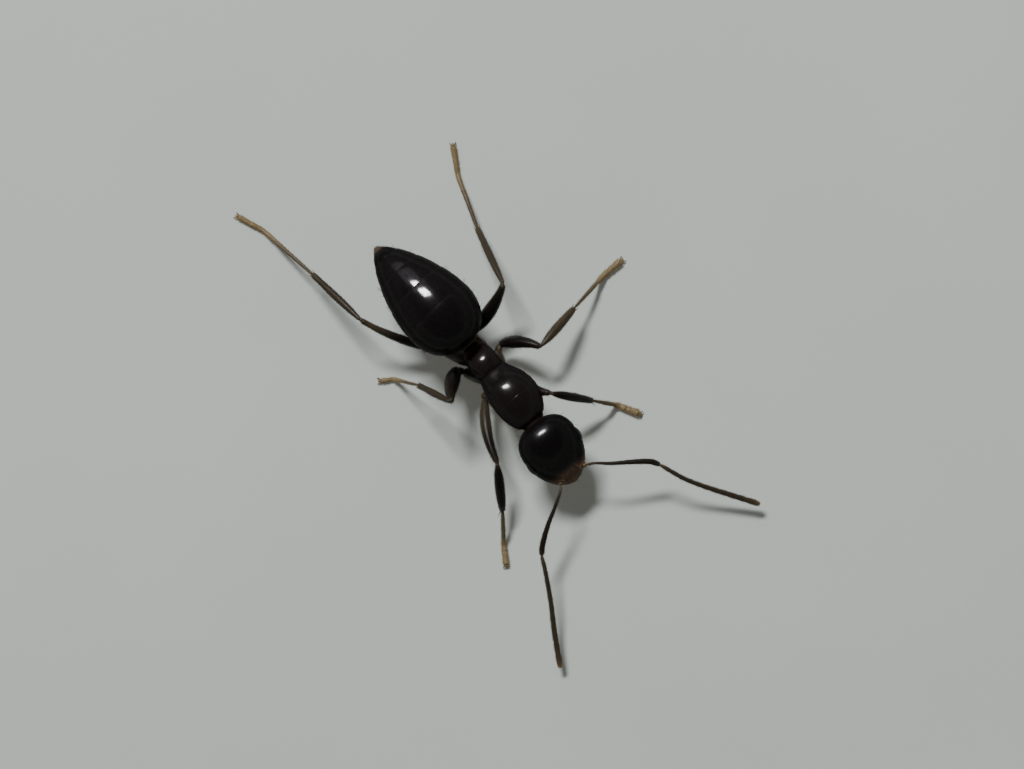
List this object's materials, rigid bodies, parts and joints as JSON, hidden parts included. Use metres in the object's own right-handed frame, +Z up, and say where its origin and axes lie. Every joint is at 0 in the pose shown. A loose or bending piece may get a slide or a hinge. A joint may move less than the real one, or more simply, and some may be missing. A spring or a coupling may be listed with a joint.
{
  "type": "ant",
  "caption": "Small glossy black-brown worker ant standing with its legs spread, tan feet, slim elbowed feelers reaching forward and a large pointed gaster",
  "frame": {"origin": "on the floor, under the middle of the whole ant's outline", "axes": "+Z up; the head and feelers point to -Y, so +Y runs from head to tail; +X is the ant's left"},
  "size_m": [0.0082, 0.0146, 0.0027],
  "materials": {
    "black_shell": "glossy black-brown chitin",
    "gaster_shell": "polished black chitin with a faint violet cast",
    "red_shell": "glossy red-brown chitin",
    "eye_black": "finely faceted black",
    "leg_brown": "glossy dark brown chitin",
    "foot_tan": "fine-haired tan chitin",
    "feeler_brown": "fine-haired brown chitin"
  },
  "bodies": {
    "root": {"clypeus": "red_shell", "eye_left": "eye_black", "eye_right": "eye_black", "front_left_coxa": "leg_brown", "front_left_femur": "leg_brown", "front_left_tarsus": "foot_tan", "front_left_tibia": "leg_brown", "front_right_coxa": "leg_brown", "front_right_femur": "leg_brown", "front_right_tarsus": "foot_tan", "front_right_tibia": "leg_brown", "funiculus_left": "feeler_brown", "funiculus_right": "feeler_brown", "gaster_segment_1": "gaster_shell", "gaster_segment_2": "gaster_shell", "gaster_segment_3": "gaster_shell", "gaster_segment_4": "gaster_shell", "gaster_segment_5": "gaster_shell", "head": "black_shell", "hind_left_coxa": "leg_brown", "hind_left_femur": "leg_brown", "hind_left_tarsus": "foot_tan", "hind_left_tibia": "leg_brown", "hind_right_coxa": "leg_brown", "hind_right_femur": "leg_brown", "hind_right_tarsus": "foot_tan", "hind_right_tibia": "leg_brown", "mandible_left": "red_shell", "mandible_right": "red_shell", "middle_left_coxa": "leg_brown", "middle_left_femur": "leg_brown", "middle_left_tarsus": "foot_tan", "middle_left_tibia": "leg_brown", "middle_right_coxa": "leg_brown", "middle_right_femur": "leg_brown", "middle_right_tarsus": "foot_tan", "middle_right_tibia": "leg_brown", "petiole": "black_shell", "promesonotum": "black_shell", "propodeum": "black_shell", "scape_left": "feeler_brown", "scape_right": "feeler_brown"}
  },
  "joints": []
}
